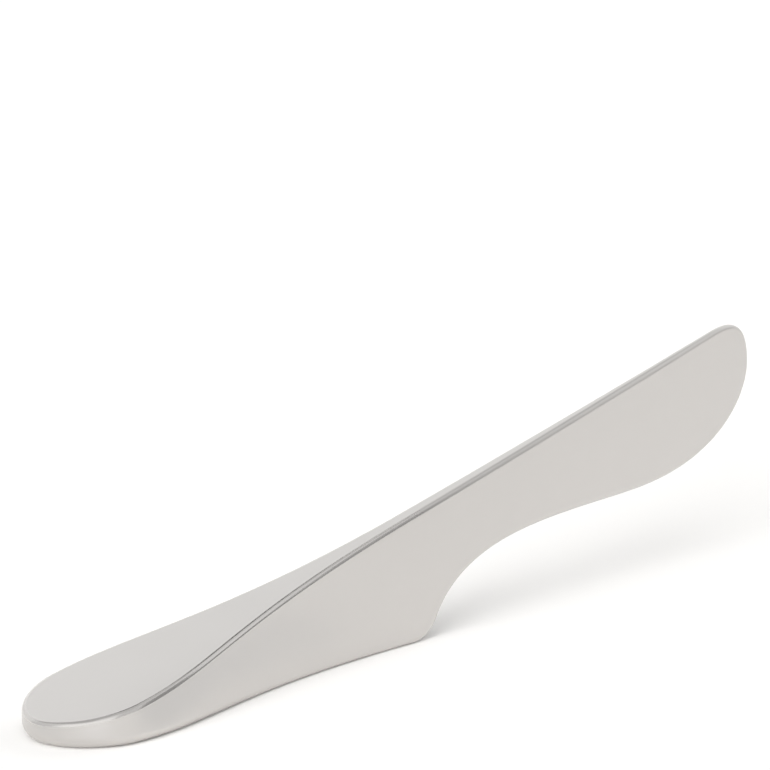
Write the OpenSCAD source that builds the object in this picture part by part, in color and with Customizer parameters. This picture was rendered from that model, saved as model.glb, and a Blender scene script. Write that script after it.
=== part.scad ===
// Self-standing butter knife, one continuous piece of stainless steel.
// The handle is a wide, low paddle with a flat underside. Its flat top rises steadily, narrows at the
// waist and runs on as the spine of an upright blade, which the heel holds clear of the table.
// X runs from the handle end to the blade tip, Y across the knife, Z up from the underside.

/* [Overall] */
// Length from the handle end to the foremost point of the blade
knife_l = 170; // [155:1:190]
// Length of the flat underside, from the handle end to the heel
handle_l = 84; // [76:0.1:90]

/* [Handle seen from above] */
// Greatest width of the paddle
paddle_w = 23.4; // [18:0.1:30]
// Distance from the handle end to the widest place
paddle_l = 13.4; // [10:0.1:18]
// How far the round end keeps running square across the handle
end_reach = 5.3; // [3:0.1:9]
// How far the side runs straight back from the widest place towards the round end
bow_reach = 7.4; // [3:0.1:9]
// How far the side runs straight on from the widest place towards the waist
side_reach = 17.3; // [8:0.1:30]
// How far the thin waist runs back from the heel before it widens
waist_reach = 42; // [25:0.1:46]
// Thickness of the knife above the heel
waist_t = 3.4; // [2.4:0.1:5]
// Thickness of the blade at its foremost point
tip_t = 1.4; // [1.1:0.1:2.2]

/* [Top edge seen from the side] */
// Height of the handle end
end_h = 4.25; // [4:0.05:7]
// Distance from the handle end to the place where the rear curve of the top edge meets the front one
rear_l = 74; // [60:1:100]
// Height that the first third of the rear curve is drawn towards
palm_h = 9.05; // [8:0.05:11]
// Height that the second third of the rear curve is drawn towards
rise_h = 14.9; // [13:0.05:17]
// Height that the second third of the front curve is drawn towards
spine_h = 37.6; // [35:0.1:40]
// Height that the straight spine would reach at the tip
crest_h = 46.1; // [43:0.1:48]
// Length at the tip in which the spine rounds over
crest_l = 10; // [7:0.5:14]
// How far the spine runs straight on into its rounding
crest_reach = 4.2; // [2:0.1:6]

/* [Lower edge seen from the side] */
// Radius of the heel, where the underside turns up
heel_r = 6.3; // [3:0.1:8]
// Angle at which the heel leaves the table
heel_angle = 63.3; // [45:0.1:70]
// How far the heel runs straight up before it curves forward
neck_reach = 15.8; // [10:0.1:20]
// Distance from the tip back to the place where the hollow neck turns into the belly
belly_l = 30; // [24:0.5:38]
// Height of that place above the table
belly_h = 17.4; // [14:0.05:22]
// Upward slope of the lower edge at that place, in degrees
belly_angle = 3.7; // [0:0.1:8]
// How far the hollow neck runs straight into that place
hollow_reach = 19.4; // [14:0.1:26]
// How far the belly runs straight on from that place
belly_reach = 23.7; // [12:0.1:25]
// Height of the foremost point of the blade above the table
nose_h = 36.2; // [33:0.1:38]
// How far the nose runs straight down from its foremost point
nose_low_reach = 5.6; // [4:0.1:11]
// How far the nose runs straight up from its foremost point
nose_high_reach = 9.5; // [4:0.1:10]

/* [Edges] */
// Radius of the rounding along the top edges
top_edge_r = 0.9; // [0.5:0.05:1.3]
// Radius of the rounding along the lower edges, from the heel to the tip
low_edge_r = 1.1; // [0.4:0.05:1.2]
// Radius of the lower rounding at the handle end, from where it sharpens towards the heel
end_edge_r = 2.4; // [1.2:0.1:2.8]
// Depth ground off the underside so that it rests on a true plane
ground_depth = 0.05; // [0.02:0.01:0.1]

/* [Smoothness] */
// Steps round the handle end
bow_steps = 14; // [8:1:24]
// Steps from the widest place to the heel
waist_steps = 24; // [12:1:40]
// Steps round the heel
heel_steps = 6; // [3:1:10]
// Steps along the hollow neck
neck_steps = 18; // [10:1:24]
// Steps along the belly and the lower half of the nose
belly_steps = 20; // [12:1:28]
// Steps along the rounding of the spine and the upper half of the nose
crest_steps = 14; // [8:1:20]
// Steps across each rounded edge
edge_steps = 4; // [2:1:6]

/* [Hidden] */

// Share of the half thickness that a rounded edge may take
edge_limit_share = 0.9;
half_paddle = paddle_w / 2;
half_waist = waist_t / 2;
half_tip = tip_t / 2;
blade_l = knife_l - handle_l;
taper = (half_tip - half_waist) / blade_l;
spine_steps = heel_steps + neck_steps + belly_steps - crest_steps;
base_z = -ground_depth;

function unit(v) = v / norm(v);

// Point on a cubic curve with the four corners c, at t from 0 to 1
function curve(c, t) =
    c[0] * pow(1 - t, 3) + c[1] * 3 * t * pow(1 - t, 2) + c[2] * 3 * t * t * (1 - t) + c[3] * pow(t, 3);

// Direction in which that curve runs at t
function heading(c, t) =
    unit((c[1] - c[0]) * pow(1 - t, 2) + (c[2] - c[1]) * 2 * t * (1 - t) + (c[3] - c[2]) * t * t);

// Normal on the left and on the right of a direction in the plane
function left_of(d) = [-d.y, d.x];
function right_of(d) = [d.y, -d.x];

// Plan of the handle: round end, then the side down to the waist
bow = [
    [0, 0],
    [0, end_reach],
    [paddle_l - bow_reach, half_paddle],
    [paddle_l, half_paddle]
];
side = [
    [paddle_l, half_paddle],
    [paddle_l + side_reach, half_paddle],
    [handle_l - waist_reach, half_waist - taper * waist_reach],
    [handle_l, half_waist]
];

// Plan rows, each [place in plan, outward normal of the wall]
function plan_row(c, t) = [curve(c, t), left_of(heading(c, t))];
handle_rows = concat(
    [for (i = [0 : bow_steps]) plan_row(bow, i / bow_steps)],
    [for (i = [1 : waist_steps]) plan_row(side, i / waist_steps)]
);
function blade_row(x) = [[x, half_waist + taper * (x - handle_l)], unit([-taper, 1])];

// Top edge: two curves that run into each other with the same slope and the same bend
front_l = knife_l - rear_l;
join_h = (pow(rear_l, 2) * spine_h + 2 * rear_l * front_l * rise_h + pow(front_l, 2) * (2 * rise_h - palm_h))
    / pow(knife_l, 2);
rear = [
    [0, end_h],
    [rear_l / 3, palm_h],
    [rear_l * 2 / 3, rise_h],
    [rear_l, join_h]
];
front = [
    [rear_l, join_h],
    [rear_l + front_l / 3, join_h + (join_h - rise_h) * front_l / rear_l],
    [rear_l + front_l * 2 / 3, spine_h],
    [knife_l, crest_h]
];

// The place on the top edge and the normal there, for a distance from the handle end
function edge_row(c, t) = [curve(c, t), left_of(heading(c, t))];
function spine_row(x) = x < rear_l ? edge_row(rear, x / rear_l) : edge_row(front, (x - rear_l) / front_l);

// Rounding of the spine down to the foremost point
crest_start = spine_row(knife_l - crest_l);
crest = [
    crest_start[0],
    crest_start[0] + crest_reach * right_of(crest_start[1]),
    [knife_l, nose_h + nose_high_reach],
    [knife_l, nose_h]
];

// Lower edge of the blade: heel, hollow neck, belly up to the foremost point
heel_centre = [handle_l, base_z + heel_r];
function heel_row(a) = [heel_centre + heel_r * [sin(a), -cos(a)], [sin(a), -cos(a)]];
heel_end = heel_row(heel_angle);
belly_start = [knife_l - belly_l, belly_h];
belly_run = [cos(belly_angle), sin(belly_angle)];
neck = [
    heel_end[0],
    heel_end[0] + neck_reach * left_of(heel_end[1]),
    belly_start - hollow_reach * belly_run,
    belly_start
];
belly = [
    belly_start,
    belly_start + belly_reach * belly_run,
    [knife_l, nose_h - nose_low_reach],
    [knife_l, nose_h]
];
function low_row(c, t) = [curve(c, t), right_of(heading(c, t))];

blade_top_rows = concat(
    [for (i = [1 : spine_steps]) spine_row(handle_l + (blade_l - crest_l) * i / spine_steps)],
    [for (i = [1 : crest_steps]) edge_row(crest, i / crest_steps)]
);
blade_low_rows = concat(
    [for (i = [1 : heel_steps]) heel_row(heel_angle * i / heel_steps)],
    [for (i = [1 : neck_steps]) low_row(neck, i / neck_steps)],
    [for (i = [1 : belly_steps]) low_row(belly, i / belly_steps)]
);

// Points across one rounded edge, from the wall to the top or lower face.
// plan and edge are rows; edge gives the place and the normal in the side view.
// On the thin blade the radius is limited by the half thickness.
function rounded(plan, edge, r) =
    let (
        wall = [plan[1].x, plan[1].y, 0],
        face = [edge[1].x, 0, edge[1].y],
        rr = plan[0].y > 0 ? min(r, edge_limit_share * plan[0].y / plan[1].y) : r,
        lean = wall * face,
        turn = acos(lean),
        centre = [edge[0].x, plan[0].y, edge[0].y] - (wall + face) * rr / (1 + lean)
    )
    [for (k = [0 : edge_steps])
        centre + rr * (sin(turn - turn * k / edge_steps) * wall + sin(turn * k / edge_steps) * face)
            / sin(turn)];

// Radius of the lower rounding at a distance from the handle end
function low_r(x) = low_edge_r + (end_edge_r - low_edge_r) * pow(max(0, 1 - x / handle_l), 2);

// One half section: up from the lower face, round the lower edge, over the wall and round the top edge
function half_section(low_plan, low_edge, top_plan, top_edge) =
    let (
        low = rounded(low_plan, low_edge, low_r(low_plan[0].x)),
        top = rounded(top_plan, top_edge, top_edge_r)
    )
    concat([for (k = [edge_steps : -1 : 0]) low[k]], top);

handle_sections = [for (row = handle_rows)
    half_section(row, [[row[0].x, base_z], [0, -1]], row, spine_row(row[0].x))];
blade_sections = [for (i = [0 : len(blade_top_rows) - 1])
    half_section(
        blade_row(blade_low_rows[i][0].x), blade_low_rows[i],
        blade_row(blade_top_rows[i][0].x), blade_top_rows[i]
    )];
sections = concat(handle_sections, blade_sections);

last = len(sections) - 1;
half_count = 2 * (edge_steps + 1);
nose_points = [for (k = [edge_steps : -1 : 0]) sections[last][edge_steps + 1 + k]];

function mirrored(points) = [for (p = points) [p.x, -p.y, p.z]];
loft_points = concat(
    sections[0],
    [for (i = [1 : last - 1]) each concat(sections[i], mirrored(sections[i]))],
    nose_points,
    mirrored(nose_points)
);

// Number of a point: section i, side s, place k in the half section.
// Both sides share the first section, and at the nose the top and lower edges share their points.
function at(i, s, k) =
    i == 0 ? k
    : i < last ? half_count * (1 + 2 * (i - 1) + s) + k
    : half_count * (1 + 2 * (last - 1)) + (edge_steps + 1) * s + min(k, half_count - 1 - k);

// Two triangles for four corners that run clockwise as seen from outside, without those of no area
function patch(a, b, c, d) = [
    if (a != b && b != c && c != a) [a, b, c],
    if (a != c && c != d && d != a) [a, c, d]
];

loft_faces = [for (i = [0 : last - 1]) each concat(
    [for (k = [0 : half_count - 2])
        each patch(at(i, 0, k), at(i + 1, 0, k), at(i + 1, 0, k + 1), at(i, 0, k + 1))],
    [for (k = [0 : half_count - 2])
        each patch(at(i, 1, k + 1), at(i + 1, 1, k + 1), at(i + 1, 1, k), at(i, 1, k))],
    patch(at(i, 0, half_count - 1), at(i + 1, 0, half_count - 1),
        at(i + 1, 1, half_count - 1), at(i, 1, half_count - 1)),
    patch(at(i, 1, 0), at(i + 1, 1, 0), at(i + 1, 0, 0), at(i, 0, 0))
)];

// The slab below the table that the underside is ground down to
module below_table() {
    translate([-knife_l / 2, -paddle_w, -end_h])
        cube([knife_l * 2, paddle_w * 2, end_h]);
}

module knife() {
    color("gainsboro")
        translate([-knife_l / 2, 0, 0])
            difference() {
                polyhedron(points = loft_points, faces = loft_faces, convexity = 6);
                below_table();
            }
}

knife();
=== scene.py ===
import math

import bpy
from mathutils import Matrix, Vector


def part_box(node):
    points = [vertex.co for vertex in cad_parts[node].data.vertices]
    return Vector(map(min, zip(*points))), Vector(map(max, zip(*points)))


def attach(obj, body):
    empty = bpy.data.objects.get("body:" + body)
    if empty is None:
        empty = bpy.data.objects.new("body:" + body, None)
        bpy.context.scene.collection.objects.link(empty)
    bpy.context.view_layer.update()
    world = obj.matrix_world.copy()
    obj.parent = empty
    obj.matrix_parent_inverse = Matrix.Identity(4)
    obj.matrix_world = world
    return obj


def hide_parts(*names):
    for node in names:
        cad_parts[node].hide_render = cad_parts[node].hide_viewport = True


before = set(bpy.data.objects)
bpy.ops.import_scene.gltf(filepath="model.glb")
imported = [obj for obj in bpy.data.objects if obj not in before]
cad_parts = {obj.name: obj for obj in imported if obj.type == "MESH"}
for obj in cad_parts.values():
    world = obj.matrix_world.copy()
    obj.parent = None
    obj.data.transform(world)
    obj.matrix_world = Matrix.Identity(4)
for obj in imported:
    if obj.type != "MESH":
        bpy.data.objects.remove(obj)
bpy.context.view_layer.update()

# The finish and the studio for a self-standing butter knife of solid stainless steel.
# Sizes are in millimetres and are turned to metres by MM where a mesh, a lamp or the camera is made.
MM = 0.001
knife_low, knife_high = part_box("knife")

# Handle and overall sizes
KNIFE_L = (knife_high.x - knife_low.x) / MM
HALF_PADDLE = (knife_high.y - knife_low.y) / 2 / MM
END_X = knife_low.x / MM
HANDLE_L = 84.0
PADDLE_L = 13.4
END_REACH = 5.3
BOW_REACH = 7.4
SIDE_REACH = 17.3
WAIST_REACH = 42.0
HALF_WAIST = 1.7
HALF_TIP = 0.7

# Top edge, seen from the side
END_H = 4.25
REAR_L = 74.0
PALM_H = 9.05
RISE_H = 14.9
SPINE_H = 37.6
CREST_H = 46.1
CREST_L = 10.0
CREST_REACH = 4.2

# Lower edge, seen from the side
HEEL_R = 6.3
HEEL_ANGLE = math.radians(63.3)
NECK_REACH = 15.8
BELLY_L = 30.0
BELLY_H = 17.4
BELLY_ANGLE = math.radians(3.7)
HOLLOW_REACH = 19.4
BELLY_REACH = 23.7
NOSE_H = 36.2
NOSE_LOW_REACH = 5.6
NOSE_HIGH_REACH = 9.5

# Rounded edges
TOP_EDGE_R = 0.9
LOW_EDGE_R = 1.1
END_EDGE_R = 2.4
EDGE_LIMIT_SHARE = 0.9
GROUND_DEPTH = 0.05

# Steps of the mesh
BOW_STEPS = 56
WAIST_STEPS = 90
HEEL_STEPS = 20
NECK_STEPS = 60
BELLY_STEPS = 80
CREST_STEPS = 56
EDGE_STEPS = 12

# Tones of the steel, with its fine grain and soft clouds in repeats to the metre
DARK_STEEL = (0.633, 0.614, 0.596, 1)
LIGHT_STEEL = (0.652, 0.633, 0.614, 1)
GRAIN_SCALE = (90, 3200, 3200)
GRAIN_DETAIL = 3.0
GRAIN_ROUGHNESS = 0.6
CLOUD_SCALE = 70.0
CLOUD_DETAIL = 4.0
CLOUD_ROUGHNESS = 0.55
CLOUD_THIN = 0.3
CLOUD_DENSE = 0.7

# Roughness of the satin finish, what the grain adds to it, and the grain's relief
SATIN_LEAST = 0.3
SATIN_MOST = 0.36
GRAIN_IN_SATIN = 0.06
GRAIN_BUMP = 0.12
GRAIN_DEPTH = 0.03

# Edges that use has rubbed smoother, from the handle's end to where the satin takes over
RUBBED_CHANGE = -0.18
RUBBED_L = 65.0
RUBBED_FADE_L = 35.0
FULL_POLISH_SHARE = 0.5

# Table and room
TABLE_HALF = 4000.0
TABLE_COLOUR = (0.93, 0.92, 0.905, 1)
TABLE_OWN_WHITE = 0.08
ROOM_LIGHT = 0.34
WHITE = (1, 1, 1, 1)

# Cards that show only in the metal, with their distances from the middle of the knife's foot
CARD_STEPS = 20
NEAR_R = 120.0
MIDDLE_R = 200.0
RIGHT_R = 560.0
FAR_R = 580.0
OVER_R = 600.0
# Lift of the table cards that paint shade and light on the table, seen only in the metal
TABLE_CARD_LIFT = 0.4

# Camera, which looks at the handle's side from a little above the table
VIEW_TURN = -133.1
VIEW_RISE = 13.9
VIEW_DISTANCE = 800.0
AIM_ALONG = 78.35
AIM_H = 47.35
PICTURE_PIXELS = 770
PIXELS_PER_MM = 5.815
SENSOR_W = 36.0
CLIP_NEAR = 50.0
CLIP_FAR = 20000.0

BLADE_L = KNIFE_L - HANDLE_L
TAPER = (HALF_TIP - HALF_WAIST) / BLADE_L
SPINE_STEPS = HEEL_STEPS + NECK_STEPS + BELLY_STEPS - CREST_STEPS
EDGE_COUNT = EDGE_STEPS + 1
HALF_COUNT = 2 * EDGE_COUNT


def put_in_scene(name, data):
    thing = bpy.data.objects.new(name, data)
    bpy.context.scene.collection.objects.link(thing)
    return thing


def flat(x, y):
    return Vector((x, y))


def curve(corners, share):
    """Point on a cubic curve with four corners, at a share of its run."""
    start, second, third, end = corners
    rest = 1 - share
    point = start * rest ** 3 + second * 3 * share * rest * rest
    return point + third * 3 * share * share * rest + end * share ** 3


def heading(corners, share):
    """Direction in which that curve runs there."""
    start, second, third, end = corners
    rest = 1 - share
    run = (second - start) * rest * rest + (third - second) * 2 * share * rest + (end - third) * share * share
    return run.normalized()


def left_of(direction):
    return flat(-direction.y, direction.x)


def right_of(direction):
    return flat(direction.y, -direction.x)


def steps(count):
    """Even steps from just after 0 up to 1."""
    return [number / count for number in range(1, count + 1)]


def row(corners, share, outward):
    """A place on a curve and its normal, which is on the left or the right of the heading there."""
    return curve(corners, share), outward(heading(corners, share))


def rows(corners, count, outward):
    """Rows from just after the start of a curve to its end."""
    return [row(corners, share, outward) for share in steps(count)]


def handle_rows():
    """Plan of the handle: the round end, then the side to the waist."""
    bow = [
        flat(0, 0),
        flat(0, END_REACH),
        flat(PADDLE_L - BOW_REACH, HALF_PADDLE),
        flat(PADDLE_L, HALF_PADDLE),
    ]
    side = [
        flat(PADDLE_L, HALF_PADDLE),
        flat(PADDLE_L + SIDE_REACH, HALF_PADDLE),
        flat(HANDLE_L - WAIST_REACH, HALF_WAIST - TAPER * WAIST_REACH),
        flat(HANDLE_L, HALF_WAIST),
    ]
    return [row(bow, 0, left_of)] + rows(bow, BOW_STEPS, left_of) + rows(side, WAIST_STEPS, left_of)


def blade_row(x):
    """Place and normal of the blade's side in plan."""
    return flat(x, HALF_WAIST + TAPER * (x - HANDLE_L)), flat(-TAPER, 1).normalized()


def top_curves():
    """The rear and the front curve of the top edge, which meet with the same slope and the same bend."""
    front_l = KNIFE_L - REAR_L
    join_h = REAR_L ** 2 * SPINE_H + 2 * REAR_L * front_l * RISE_H + front_l ** 2 * (2 * RISE_H - PALM_H)
    join = flat(REAR_L, join_h / KNIFE_L ** 2)
    rear = [flat(0, END_H), flat(REAR_L / 3, PALM_H), flat(REAR_L * 2 / 3, RISE_H), join]
    front = [
        join,
        join + (join - rear[2]) * (front_l / REAR_L),
        flat(REAR_L + front_l * 2 / 3, SPINE_H),
        flat(KNIFE_L, CREST_H),
    ]
    return rear, front


def spine_row(x):
    """Place and normal of the top edge in the side view."""
    rear, front = top_curves()
    if x < REAR_L:
        return row(rear, x / REAR_L, left_of)
    return row(front, (x - REAR_L) / (KNIFE_L - REAR_L), left_of)


def blade_top_rows():
    """Top edge from the heel to the foremost point."""
    start, normal = spine_row(KNIFE_L - CREST_L)
    crest = [
        start,
        start + right_of(normal) * CREST_REACH,
        flat(KNIFE_L, NOSE_H + NOSE_HIGH_REACH),
        flat(KNIFE_L, NOSE_H),
    ]
    spine = [spine_row(HANDLE_L + (BLADE_L - CREST_L) * share) for share in steps(SPINE_STEPS)]
    return spine + rows(crest, CREST_STEPS, left_of)


def blade_low_rows():
    """Lower edge from the heel over the hollow neck and the belly to the foremost point."""
    centre = flat(HANDLE_L, HEEL_R - GROUND_DEPTH)
    heel = []
    for share in steps(HEEL_STEPS):
        normal = flat(math.sin(HEEL_ANGLE * share), -math.cos(HEEL_ANGLE * share))
        heel.append((centre + normal * HEEL_R, normal))
    end, normal = heel[-1]
    belly_start = flat(KNIFE_L - BELLY_L, BELLY_H)
    belly_run = flat(math.cos(BELLY_ANGLE), math.sin(BELLY_ANGLE))
    neck = [end, end + left_of(normal) * NECK_REACH, belly_start - belly_run * HOLLOW_REACH, belly_start]
    belly = [
        belly_start,
        belly_start + belly_run * BELLY_REACH,
        flat(KNIFE_L, NOSE_H - NOSE_LOW_REACH),
        flat(KNIFE_L, NOSE_H),
    ]
    return heel + rows(neck, NECK_STEPS, right_of) + rows(belly, BELLY_STEPS, right_of)


def rounded(plan_row, side_row, radius):
    """Points, normals and edge shares across one rounded edge, from the wall to the top or lower face.
    The edge share is 0 where the edge starts and ends, and 1 in its middle."""
    plan, plan_normal = plan_row
    side, side_normal = side_row
    wall = Vector((plan_normal.x, plan_normal.y, 0))
    face = Vector((side_normal.x, 0, side_normal.y))
    if plan.y > 0:
        radius = min(radius, EDGE_LIMIT_SHARE * plan.y / plan_normal.y)
    lean = wall.dot(face)
    turn = math.acos(lean)
    centre = Vector((side.x, plan.y, side.y)) - (wall + face) * radius / (1 + lean)
    points = []
    for share in [0.0] + steps(EDGE_STEPS):
        normal = (wall * math.sin(turn * (1 - share)) + face * math.sin(turn * share)) / math.sin(turn)
        point = centre + normal * radius
        point.z = max(point.z, 0)
        points.append((point, normal, math.sin(math.pi * share)))
    return points


def half_section(low_plan, low_side, top_plan, top_side):
    """Up from the lower face, round the lower edge, over the wall and round the top edge.
    Only the top edge keeps its edge shares, because the lower one isn't rubbed bright."""
    end_share = max(0, 1 - low_plan[0].x / HANDLE_L) ** 2
    low = rounded(low_plan, low_side, LOW_EDGE_R + (END_EDGE_R - LOW_EDGE_R) * end_share)
    plain = [(point, normal, 0.0) for point, normal, share in low]
    return plain[::-1] + rounded(top_plan, top_side, TOP_EDGE_R)


def knife_sections():
    """Half sections from the round end to the nose."""
    sections = []
    for row in handle_rows():
        underside = (flat(row[0].x, -GROUND_DEPTH), flat(0, -1))
        sections.append(half_section(row, underside, row, spine_row(row[0].x)))
    for low, top in zip(blade_low_rows(), blade_top_rows()):
        sections.append(half_section(blade_row(low[0].x), low, blade_row(top[0].x), top))
    return sections


def mirrored(section):
    return [
        (Vector((point.x, -point.y, point.z)), Vector((normal.x, -normal.y, normal.z)), share)
        for point, normal, share in section
    ]


def knife_points(sections):
    """Points of the whole knife, section by section, each with its mirror image after it.
    The first section lies on the middle plane, so it isn't mirrored. In the last one the lower half lies on
    the upper half, so only the upper half is kept, from its face to its wall."""
    points = list(sections[0])
    for section in sections[1:-1]:
        points += section + mirrored(section)
    nose = sections[-1][EDGE_COUNT:][::-1]
    return points + nose + mirrored(nose)


def point_numbers(section, last):
    """Numbers of a section's points, from the lower face to the top one, and of their mirror images."""
    if section == 0:
        shared = list(range(HALF_COUNT))
        return shared, shared
    first = HALF_COUNT * (2 * section - 1)
    if section < last:
        places = range(HALF_COUNT)
        mirror_first = first + HALF_COUNT
    else:
        places = [min(place, HALF_COUNT - 1 - place) for place in range(HALF_COUNT)]
        mirror_first = first + EDGE_COUNT
    return [first + place for place in places], [mirror_first + place for place in places]


def patch(*corners):
    """One face, without the corners that it has twice, or nothing if it has no area."""
    kept = list(dict.fromkeys(corners))
    return [kept] if len(kept) > 2 else []


def knife_faces(last):
    """Faces between neighbouring sections: both sides, then the top and the lower face."""
    numbers = [point_numbers(section, last) for section in range(last + 1)]
    faces = []
    for (near, near_mirror), (far, far_mirror) in zip(numbers, numbers[1:]):
        for low in range(HALF_COUNT - 1):
            high = low + 1
            faces += patch(near[low], near[high], far[high], far[low])
            faces += patch(near_mirror[low], far_mirror[low], far_mirror[high], near_mirror[high])
        faces += patch(near[-1], near_mirror[-1], far_mirror[-1], far[-1])
        faces += patch(near[0], far[0], far_mirror[0], near_mirror[0])
    return faces


def knife_mesh():
    """The whole knife as one closed mesh: a loft of cross sections, with exact normals."""
    sections = knife_sections()
    points = knife_points(sections)
    faces = knife_faces(len(sections) - 1)
    shift = Vector((END_X, 0, 0))
    mesh = bpy.data.meshes.new("steel_knife")
    mesh.from_pydata([(point + shift) * MM for point, normal, share in points], [], faces)
    mesh.validate()
    edge = mesh.attributes.new("edge_share", "FLOAT", "POINT")
    edge.data.foreach_set("value", [share for point, normal, share in points])
    mesh.polygons.foreach_set("use_smooth", [True] * len(mesh.polygons))
    mesh.normals_split_custom_set_from_vertices([normal.normalized() for point, normal, share in points])
    mesh.update()
    return mesh


class Nodes:
    """A short way to add and join shader nodes."""

    def __init__(self, tree):
        self.tree = tree
        tree.nodes.clear()

    def add(self, kind, inputs=None, **settings):
        """A node with its settings, and with each input set to a value or joined to another node's output."""
        node = self.tree.nodes.new(kind)
        for name, value in settings.items():
            setattr(node, name, value)
        for name, value in (inputs or {}).items():
            if isinstance(value, bpy.types.NodeSocket):
                self.tree.links.new(value, node.inputs[name])
            else:
                node.inputs[name].default_value = value
        return node

    def combined(self, operation, *values):
        """Result of a Math node with these values."""
        return self.add("ShaderNodeMath", dict(enumerate(values)), operation=operation).outputs["Value"]

    def fitted(self, value, low, high, to_low, to_high):
        """A value from low to high, fitted to the range from to_low to to_high."""
        limits = {"From Min": low, "From Max": high, "To Min": to_low, "To Max": to_high}
        return self.add("ShaderNodeMapRange", {"Value": value, **limits}).outputs["Result"]


def new_material(name):
    material = bpy.data.materials.new(name)
    material.use_nodes = True
    return material, Nodes(material.node_tree)


def steel_material():
    """Satin-polished stainless steel: fine lengthwise grain, soft cloudiness and brighter rubbed edges."""
    material, nodes = new_material("satin_steel")
    place = nodes.add("ShaderNodeTexCoord").outputs["Object"]

    stretched = nodes.add("ShaderNodeMapping", {"Vector": place, "Scale": GRAIN_SCALE}).outputs["Vector"]
    grain = nodes.add("ShaderNodeTexNoise", {
        "Vector": stretched, "Scale": 1.0, "Detail": GRAIN_DETAIL, "Roughness": GRAIN_ROUGHNESS,
    }).outputs["Fac"]
    cloud = nodes.add("ShaderNodeTexNoise", {
        "Vector": place, "Scale": CLOUD_SCALE, "Detail": CLOUD_DETAIL, "Roughness": CLOUD_ROUGHNESS,
    }).outputs["Fac"]

    # A Mix node has sockets for every kind of value, so the colour ones are named by their place
    tone = nodes.fitted(cloud, CLOUD_THIN, CLOUD_DENSE, 0.0, 1.0)
    colour = nodes.add("ShaderNodeMix", {0: tone, 6: DARK_STEEL, 7: LIGHT_STEEL}, data_type="RGBA").outputs[2]

    satin = nodes.fitted(cloud, CLOUD_THIN, CLOUD_DENSE, SATIN_LEAST, SATIN_MOST)
    grained = nodes.combined("MULTIPLY_ADD", grain, GRAIN_IN_SATIN, satin)

    # The edges of the handle are rubbed bright, those of the blade keep the satin finish
    edge = nodes.add("ShaderNodeAttribute", attribute_name="edge_share").outputs["Fac"]
    polish = nodes.fitted(edge, 0.0, FULL_POLISH_SHARE, 0.0, 1.0)
    along = nodes.add("ShaderNodeSeparateXYZ", {"Vector": place}).outputs["X"]
    fade_start = (END_X + RUBBED_L) * MM
    fade_end = (END_X + RUBBED_L + RUBBED_FADE_L) * MM
    rubbed = nodes.fitted(along, fade_start, fade_end, RUBBED_CHANGE, 0.0)
    rough = nodes.combined("MULTIPLY_ADD", polish, rubbed, grained)

    relief = {"Height": grain, "Strength": GRAIN_BUMP, "Distance": GRAIN_DEPTH * MM}
    bump = nodes.add("ShaderNodeBump", relief)
    shader = nodes.add("ShaderNodeBsdfPrincipled", {
        "Base Color": colour, "Metallic": 1.0, "Roughness": rough, "Normal": bump.outputs["Normal"],
    })
    nodes.add("ShaderNodeOutputMaterial", {"Surface": shader.outputs["BSDF"]})
    return material


def seen_directly(nodes):
    """1 for what the camera sees directly, in metal or through glass, and 0 for the light on surfaces."""
    path = nodes.add("ShaderNodeLightPath").outputs
    both = nodes.combined("MAXIMUM", path["Is Camera Ray"], path["Is Glossy Ray"])
    every = nodes.combined("MAXIMUM", both, path["Is Transmission Ray"])
    # The depth is a whole number, so under a half the ray has met no matt surface yet
    before_matt = nodes.combined("LESS_THAN", path["Diffuse Depth"], 0.5)
    return nodes.combined("MULTIPLY", every, before_matt)


def white_world():
    """A room that looks white, also in the metal, and gives a softer light."""
    world = bpy.data.worlds.new("white_room")
    bpy.context.scene.world = world
    world.use_nodes = True
    nodes = Nodes(world.node_tree)
    strength = nodes.fitted(seen_directly(nodes), 0.0, 1.0, ROOM_LIGHT, 1.0)
    light = nodes.add("ShaderNodeBackground", {"Color": WHITE, "Strength": strength})
    nodes.add("ShaderNodeOutputWorld", {"Surface": light.outputs["Background"]})


def table_material():
    """White table top that keeps the shadow: part of its white is its own, and the rest is lit."""
    material, nodes = new_material("white_table")
    own = nodes.combined("MULTIPLY", seen_directly(nodes), TABLE_OWN_WHITE)
    glow = nodes.add("ShaderNodeEmission", {"Color": WHITE, "Strength": own})
    lit = nodes.add("ShaderNodeBsdfDiffuse", {"Color": TABLE_COLOUR})
    both = nodes.add("ShaderNodeAddShader", {0: glow.outputs["Emission"], 1: lit.outputs["BSDF"]})
    nodes.add("ShaderNodeOutputMaterial", {"Surface": both.outputs["Shader"]})
    return material


def sheet(name, points, faces):
    """The table or a card, from points in millimetres."""
    mesh = bpy.data.meshes.new(name)
    mesh.from_pydata([Vector(point) * MM for point in points], [], faces)
    return put_in_scene(name, mesh)


def floor():
    """Wide white table top under the knife."""
    half = TABLE_HALF
    corners = [(-half, -half, 0), (half, -half, 0), (half, half, 0), (-half, half, 0)]
    table = sheet("table_top", corners, [range(len(corners))])
    table.data.materials.append(table_material())


def show_in_metal(thing, grey):
    """Give a card its grey, and keep it out of the picture and of the light on the table."""
    material, nodes = new_material(thing.name)
    shader = nodes.add("ShaderNodeEmission", {"Color": (grey, grey, grey, 1), "Strength": 1.0})
    nodes.add("ShaderNodeOutputMaterial", {"Surface": shader.outputs["Emission"]})
    thing.data.materials.append(material)
    thing.visible_camera = False
    thing.visible_diffuse = False
    thing.visible_shadow = False


def toward(turn, rise):
    """Direction with a bearing from +X towards +Y and a height above the table, both in degrees."""
    bearing = math.radians(turn)
    height = math.radians(rise)
    return Vector((
        math.cos(height) * math.cos(bearing),
        math.cos(height) * math.sin(bearing),
        math.sin(height),
    ))


def between(limits, share):
    return limits[0] + (limits[1] - limits[0]) * share


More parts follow.
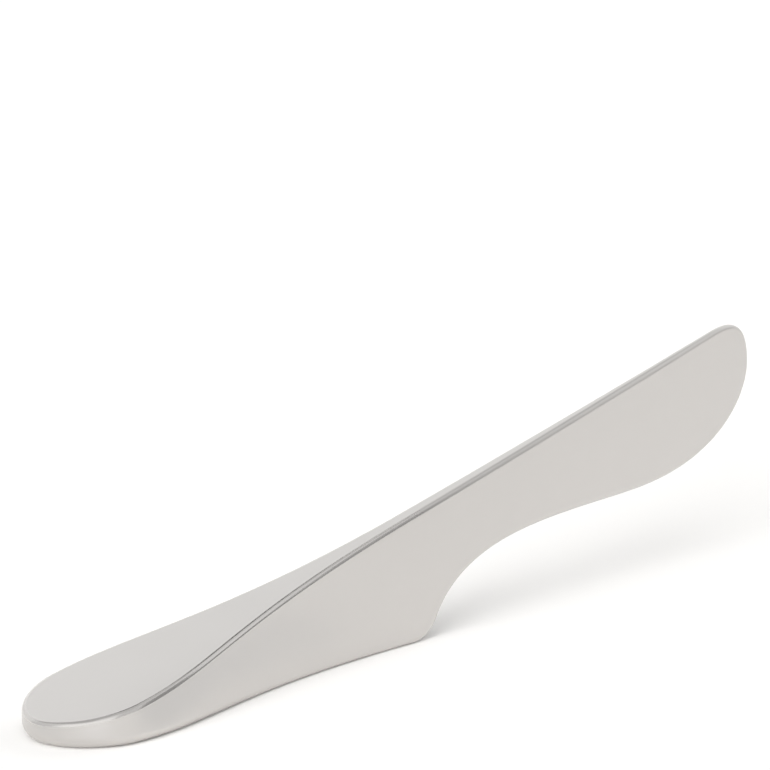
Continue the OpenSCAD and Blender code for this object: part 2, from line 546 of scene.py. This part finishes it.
def card(name, grey, turns, rises, radius):
    """A curved grey card round the knife, between two bearings and two heights, at a radius from the middle
    of the knife's foot. It draws the rounded edges."""
    shares = [0.0] + steps(CARD_STEPS)
    points = [toward(between(turns, side), between(rises, up)) * radius for side in shares for up in shares]
    column = len(shares)
    firsts = [column * side + up for side in range(CARD_STEPS) for up in range(CARD_STEPS)]
    faces = [(first, first + column, first + column + 1, first + 1) for first in firsts]
    show_in_metal(sheet(name, points, faces), grey)


def painted_table_card(name, grey, corners):
    """A grey card that lies on the table and shows only in the metal, as painted shade or painted light on
    the table in the reflection of the handle's side.
    Each corner has its distance along the knife from the handle's end, and across it from the middle plane."""
    points = [(END_X + along, across, TABLE_CARD_LIFT) for along, across in corners]
    show_in_metal(sheet(name, points, [range(len(points))]), grey)


def cards():
    """Grey cards over, behind, in front of and beside the knife. They show only in the metal."""
    card("card_over", 0.68, (0, 360), (62, 89), OVER_R)

    # Behind the knife, for the upper of the two thin lines along the top edge
    card("card_back_handle", 0.02, (45, 80), (70, 84), NEAR_R)
    card("card_back_palm", 0.02, (60, 80), (64.5, 70), NEAR_R)
    card("card_back_round", 0.3, (80, 108), (64.5, 84), NEAR_R)
    card("card_back_end", 0.02, (108, 148), (56, 68), NEAR_R)
    card("card_back_tail", 0.6, (150, 196), (22, 54), NEAR_R)
    card("card_back_spine", 0.5, (-26, 6), (57, 66), MIDDLE_R)
    card("card_back_blade", 0.6, (6, 33), (46, 62), MIDDLE_R)

    # In front of the knife, for the lower line and the round end
    card("card_front_handle", 0.36, (-84, -51), (0, 58), MIDDLE_R)
    card("card_front_right", 0.34, (-46, -29), (3, 25), RIGHT_R)
    card("card_front_blade", 0.78, (-64, -46), (8, 58), FAR_R)
    card("card_front_middle", 0.76, (-110, -70), (0, 62), FAR_R)
    card("card_front_left", 1.2, (-176, -112), (0, 36), FAR_R)
    card("card_left", 0.82, (128, 176), (0, 44), FAR_R)

    # On the table, for the side of the handle: painted shade beside the handle and off its end, and a painted
    # lighter patch by the end, seen only as painted reflections in the metal
    painted_table_card("painted_shade_table_side", 0.9, [(19, -15), (73, -12), (89, -22), (71, -36), (19, -34)])
    painted_table_card("painted_light_table_end", 1.2, [(-8, -14), (4, -16), (4, -32), (-8, -32)])
    painted_table_card("painted_shade_table_left", 0.86, [(-25, -12), (-8, -12), (-8, 10), (-25, 10)])


def stand(name, data, place, direction):
    """Put a lamp or the camera at a place in metres, looking in a direction."""
    thing = put_in_scene(name, data)
    thing.location = place
    thing.rotation_euler = direction.to_track_quat("-Z", "Y").to_euler()
    return thing


def skylight(name, turn, rise, spread, level):
    """Soft light that falls evenly on the whole table, with the level that it gives a white table.
    The metal doesn't show it."""
    light = bpy.data.lights.new(name, "SUN")
    light.angle = math.radians(spread)
    light.energy = level * math.pi / math.sin(math.radians(rise))
    source = toward(turn, rise)
    stand(name, light, source, -source).visible_glossy = False


def softbox(name, turn, rise, distance, size, radiance, colour):
    """A square lamp facing the knife, with the brightness that its face has."""
    light = bpy.data.lights.new(name, "AREA")
    light.shape = "SQUARE"
    light.size = size * MM
    light.energy = radiance * math.pi * light.size ** 2
    light.color = colour
    source = toward(turn, rise)
    stand(name, light, source * (distance * MM), -source)


def lights():
    """Three skylights for the table and the shadow, and a faint softbox behind the knife."""
    skylight("skylight_end", -162, 28, 44, 0.38)
    skylight("skylight_tip", -4, 28, 44, 0.11)
    skylight("skylight_over", -140, 70, 50, 0.22)
    softbox("softbox_behind", 56, 30, 900, 700, 0.095, (0.94, 0.98, 1.0))


def camera():
    """The photograph's viewpoint."""
    data = bpy.data.cameras.new("camera")
    data.sensor_width = SENSOR_W
    data.lens = SENSOR_W * PIXELS_PER_MM * VIEW_DISTANCE / PICTURE_PIXELS
    data.clip_start = CLIP_NEAR * MM
    data.clip_end = CLIP_FAR * MM
    aim = Vector((END_X + AIM_ALONG, 0, AIM_H)) * MM
    back = toward(VIEW_TURN, VIEW_RISE)
    bpy.context.scene.camera = stand("camera", data, aim + back * (VIEW_DISTANCE * MM), -back)


camera()
bpy.context.scene.view_settings.view_transform = "Standard"
white_world()
floor()
cards()
lights()

knife = put_in_scene("steel_knife", knife_mesh())
knife.data.materials.append(steel_material())
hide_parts("knife")
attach(knife, "root")
